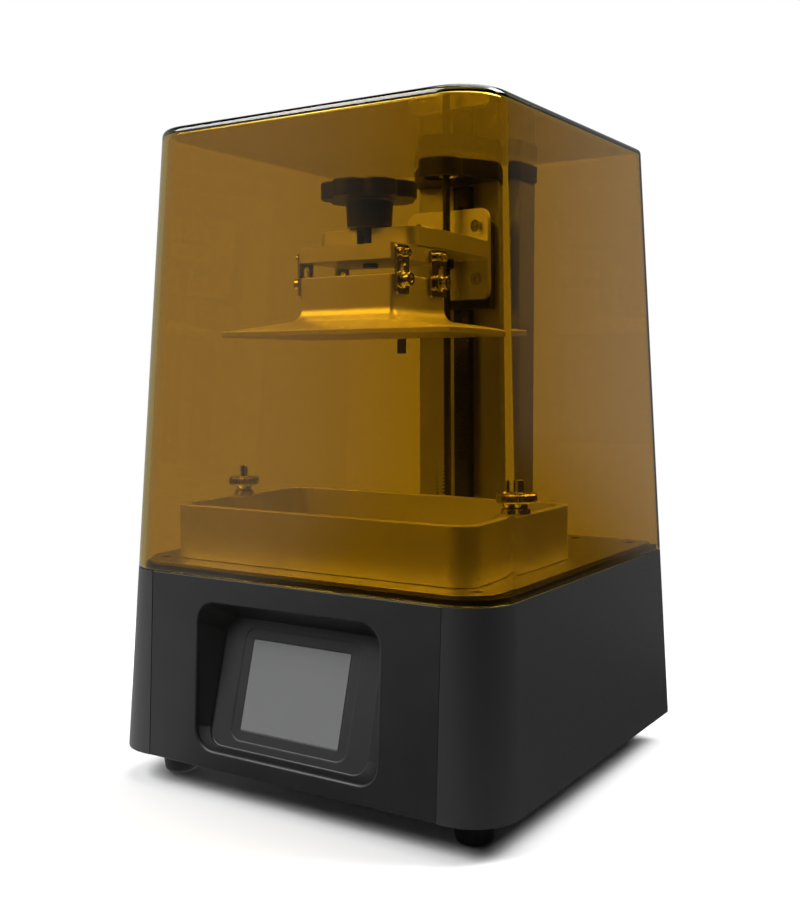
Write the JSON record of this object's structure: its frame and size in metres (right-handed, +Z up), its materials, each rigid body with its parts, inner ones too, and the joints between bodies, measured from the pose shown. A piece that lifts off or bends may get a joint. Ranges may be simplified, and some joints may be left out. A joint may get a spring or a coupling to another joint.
{
  "type": "resin printer",
  "caption": "Desktop resin 3D printer: tapered dark base with tilted screen, amber lift-off cover, vat with thumb nuts, and a build plate carried on a screw-driven column.",
  "frame": {"origin": "on the ground, under the middle of the base", "axes": "+Z up, -Y out of the front panel, +X to the right when facing the front"},
  "size_m": [0.2254, 0.2133, 0.33],
  "materials": {
    "shell_plastic": "moulded, very fine spark texture",
    "fascia_plastic": "moulded, very fine spark texture",
    "amber_acrylic": "polished transparent amber acrylic",
    "display_glass": "satin screen cover",
    "black_plastic": "moulded",
    "circuit_board": "solder mask",
    "lamp_board": "white solder mask",
    "led_lens": "clear dome",
    "lcd_glass": "polished dark glass",
    "white_plastic": "white reflector",
    "bed_aluminium": "fine brushed",
    "cast_aluminium": "bead blasted and anodised",
    "vat_aluminium": "satin anodised",
    "fin_aluminium": "extruded",
    "column_steel": "satin dark grey",
    "bright_steel": "turned",
    "dark_steel": "black oxide, oiled",
    "sheet_steel": "zinc plated",
    "rubber": "soft, matt",
    "red_plastic": "glossy",
    "brass": "turned",
    "clear_film": "stretched clear film"
  },
  "bodies": {
    "root": {"base_shell": "shell_plastic", "front_fascia": "fascia_plastic", "display_glass": "display_glass", "display_board": "circuit_board", "rear_panel": "sheet_steel", "rear_panel_screws": "dark_steel", "base_floor": "sheet_steel", "feet": "rubber", "foot_screws": "bright_steel", "top_deck": "black_plastic", "top_plate": "bed_aluminium", "plate_screws": "dark_steel", "lcd_panel": "lcd_glass", "light_shroud": "white_plastic", "led_board": "lamp_board", "led_chips": "led_lens", "heatsink": "fin_aluminium", "lamp_bracket": "sheet_steel", "mainboard": "circuit_board", "board_standoffs": "brass", "dc_inlet": "black_plastic", "switch_housing": "black_plastic", "usb_port": "bright_steel", "ethernet_port": "bright_steel", "fan_frame": "black_plastic", "fan_guard": "bright_steel", "fan_screws": "dark_steel", "stepper_motor": "column_steel", "motor_standoffs": "bright_steel", "top_bearing": "bright_steel", "z_column": "column_steel", "column_cap": "black_plastic", "linear_rail": "dark_steel", "rail_screws": "dark_steel", "limit_sensor": "black_plastic", "vat_studs": "bright_steel"},
    "lid": {"lid_cover": "amber_acrylic"},
    "carriage": {"rail_carriage": "black_plastic", "z_arm": "cast_aluminium", "arm_screws": "bright_steel", "lead_nut": "black_plastic", "limit_flag": "black_plastic"},
    "screw": {"lead_screw": "dark_steel", "coupler": "fin_aluminium", "motor_shaft": "bright_steel"},
    "platform": {"clamp_plate": "cast_aluminium", "level_brackets": "bright_steel", "bracket_screws": "bright_steel"},
    "plate": {"build_plate": "cast_aluminium", "lock_screws": "bright_steel"},
    "knob": {"star_knob": "black_plastic", "knob_stud": "dark_steel"},
    "vat": {"vat_frame": "vat_aluminium", "film_frame": "dark_steel", "release_film": "clear_film"},
    "left_nut": {"left_thumb_nut": "bright_steel"},
    "right_nut": {"right_thumb_nut": "bright_steel"},
    "rocker": {"switch_rocker": "red_plastic"},
    "fan": {"fan_rotor": "black_plastic"}
  },
  "joints": [
    {"name": "lid_lift", "type": "slide", "parent": "root", "child": "lid", "axis": [0, 0, 1], "range_m": [0, 0.24]},
    {"name": "carriage_travel", "type": "slide", "parent": "root", "child": "carriage", "axis": [0, 0, 1], "range_m": [-0.1105, 0.014]},
    {"name": "screw_turn", "type": "hinge", "parent": "root", "child": "screw", "pos_m": [0, 0.043, 0.2], "axis": [0, 0, 1], "range_deg": [-20000, 2600]},
    {"name": "platform_slide", "type": "slide", "parent": "carriage", "child": "platform", "axis": [0, -1, 0], "range_m": [0, 0.026]},
    {"name": "plate_level", "type": "slide", "parent": "platform", "child": "plate", "axis": [0, 0, 1], "range_m": [-0.001, 0.001]},
    {"name": "knob_turn", "type": "hinge", "parent": "platform", "child": "knob", "pos_m": [0, -0.028, 0.28], "axis": [0, 0, 1], "range_deg": [0, 1080]},
    {"name": "vat_lift", "type": "slide", "parent": "root", "child": "vat", "axis": [0, 0, 1], "range_m": [0, 0.05]},
    {"name": "left_nut_turn", "type": "hinge", "parent": "vat", "child": "left_nut", "pos_m": [-0.0834, -0.03, 0.145], "axis": [0, 0, 1], "range_deg": [0, 1440]},
    {"name": "right_nut_turn", "type": "hinge", "parent": "vat", "child": "right_nut", "pos_m": [0.0834, -0.03, 0.145], "axis": [0, 0, 1], "range_deg": [0, 1440]},
    {"name": "rocker_tilt", "type": "hinge", "parent": "root", "child": "rocker", "pos_m": [-0.056, 0.10099, 0.07388], "axis": [0, -0.039, 0.9992], "range_deg": [0, 14]},
    {"name": "fan_spin", "type": "hinge", "parent": "root", "child": "fan", "pos_m": [0.038, 0.09296, 0.06156], "axis": [0, 0.9992, 0.039], "continuous": true}
  ],
  "couplings": [
    {"joint": "screw_turn", "follows": "carriage_travel", "rad_per_m": 3141.6}
  ]
}
